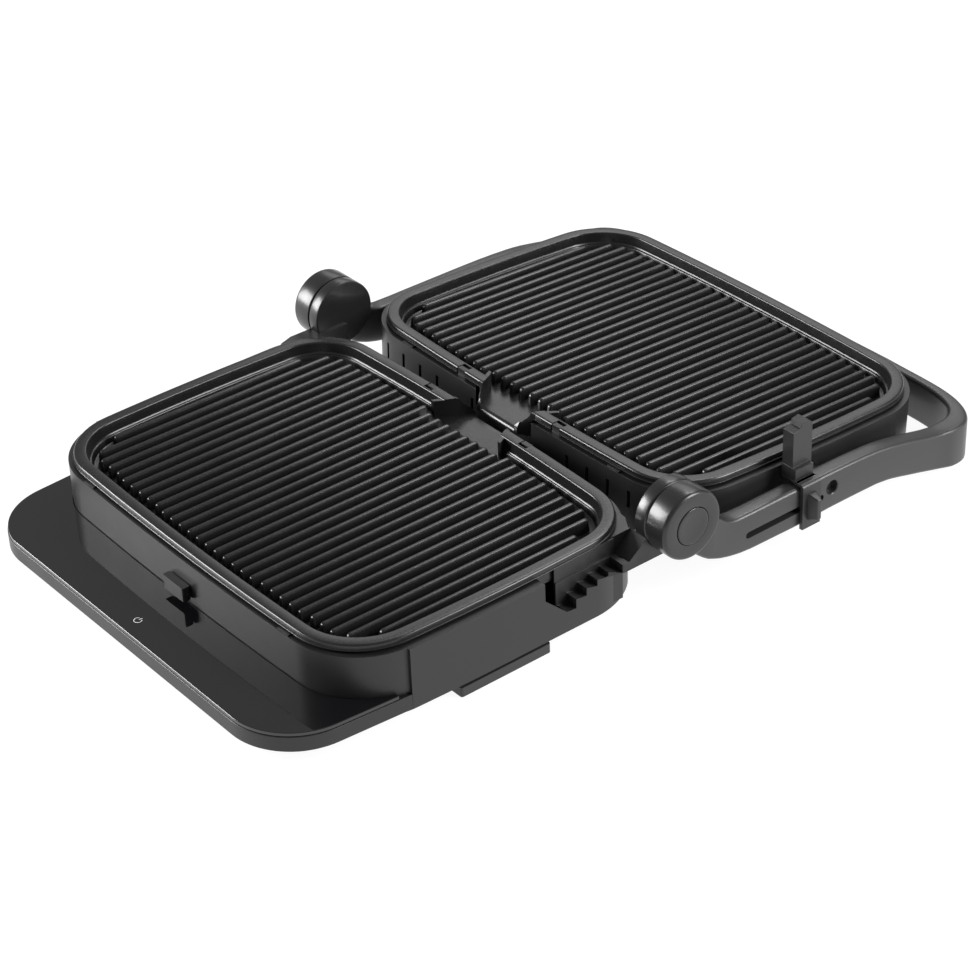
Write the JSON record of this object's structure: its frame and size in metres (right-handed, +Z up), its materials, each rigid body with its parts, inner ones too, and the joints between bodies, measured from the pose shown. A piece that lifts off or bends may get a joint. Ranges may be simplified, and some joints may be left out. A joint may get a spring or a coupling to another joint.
{
  "type": "contact grill",
  "caption": "Contact grill opened flat: ribbed non-stick plates in black housings, joined by a U-shaped handle frame on side hinges, glass control deck in front.",
  "frame": {"origin": "middle of the opened grill's footprint, on the table", "axes": "+X to the user's right, +Y from the control deck to the handle of the opened lid, +Z up"},
  "size_m": [0.368, 0.5338, 0.0823],
  "materials": {
    "housing_black": "fine satin",
    "cover_black": "fine matt",
    "foot_rubber": "matt",
    "deck_glass": "glossy black backed glass",
    "circuit_board": "semi-gloss",
    "reflector_sheet": "bright sheet",
    "heater_tube": "oxidised",
    "plated_steel": "zinc plated",
    "hinge_black": "satin black",
    "frame_black": "satin black",
    "grip_black": "fine satin",
    "tray_black": "fine satin",
    "nonstick_plate": "black non-stick coating"
  },
  "bodies": {
    "base": {"lower_housing": "housing_black", "bottom_cover": "cover_black", "rubber_feet": "foot_rubber", "foot_rails": "cover_black", "control_deck": "housing_black", "glass_panel": "deck_glass", "touch_board": "circuit_board", "power_board": "circuit_board", "lower_reflector": "reflector_sheet", "lower_heating_element": "heater_tube", "lower_thermostat": "plated_steel", "height_rack": "housing_black", "hinge_disc_left": "hinge_black", "hinge_disc_right": "hinge_black", "hinge_pins": "plated_steel", "cord_gland": "foot_rubber", "base_screws": "plated_steel", "lower_latch_spring": "plated_steel"},
    "drip_tray": {"drip_tray": "tray_black"},
    "lower_plate": {"lower_plate": "nonstick_plate"},
    "lower_latch": {"lower_latch": "grip_black"},
    "lid_frame": {"handle_frame": "frame_black", "drum_cap": "hinge_black", "pivot_pins": "hinge_black", "button_spring": "plated_steel"},
    "release_button": {"release_button": "hinge_black"},
    "height_slider": {"height_slider": "grip_black", "slider_knob": "grip_black"},
    "upper_half": {"upper_housing": "housing_black", "upper_cover": "cover_black", "cover_screws": "plated_steel", "upper_reflector": "reflector_sheet", "upper_heating_element": "heater_tube", "upper_thermostat": "plated_steel", "upper_latch_spring": "plated_steel"},
    "upper_plate": {"upper_plate": "nonstick_plate"},
    "upper_latch": {"upper_latch": "grip_black"}
  },
  "joints": [
    {"name": "lid_hinge", "type": "hinge", "parent": "base", "child": "lid_frame", "pos_m": [0, 0.0113, 0.05725], "axis": [-1, 0, 0], "range_deg": [-180, 0]},
    {"name": "upper_float", "type": "hinge", "parent": "lid_frame", "child": "upper_half", "pos_m": [0, 0.1281, 0.0316], "axis": [-1, 0, 0], "range_deg": [-4.6, 0]},
    {"name": "release_button_press", "type": "slide", "parent": "lid_frame", "child": "release_button", "axis": [-1, 0, 0], "range_m": [0, 0.003], "stiffness_N_per_m": 900, "springref_m": -0.001},
    {"name": "height_slider_slide", "type": "slide", "parent": "lid_frame", "child": "height_slider", "axis": [0, -1, 0], "range_m": [0, 0.036]},
    {"name": "lower_latch_slide", "type": "slide", "parent": "base", "child": "lower_latch", "axis": [0, 0, -1], "range_m": [0, 0.0025], "stiffness_N_per_m": 500, "springref_m": -0.001, "deforming": ["lower_latch_spring"]},
    {"name": "upper_latch_slide", "type": "slide", "parent": "upper_half", "child": "upper_latch", "axis": [0, -0.0436, -0.999], "range_m": [0, 0.0025], "stiffness_N_per_m": 500, "springref_m": -0.001, "deforming": ["upper_latch_spring"]},
    {"name": "lower_plate_lift", "type": "slide", "parent": "base", "child": "lower_plate", "axis": [0, 0, 1], "range_m": [0, 0.06]},
    {"name": "upper_plate_lift", "type": "slide", "parent": "upper_half", "child": "upper_plate", "axis": [0, 0.0436, 0.999], "range_m": [0, 0.06]},
    {"name": "drip_tray_slide", "type": "slide", "parent": "base", "child": "drip_tray", "axis": [0, 1, 0], "range_m": [0, 0.05]}
  ]
}
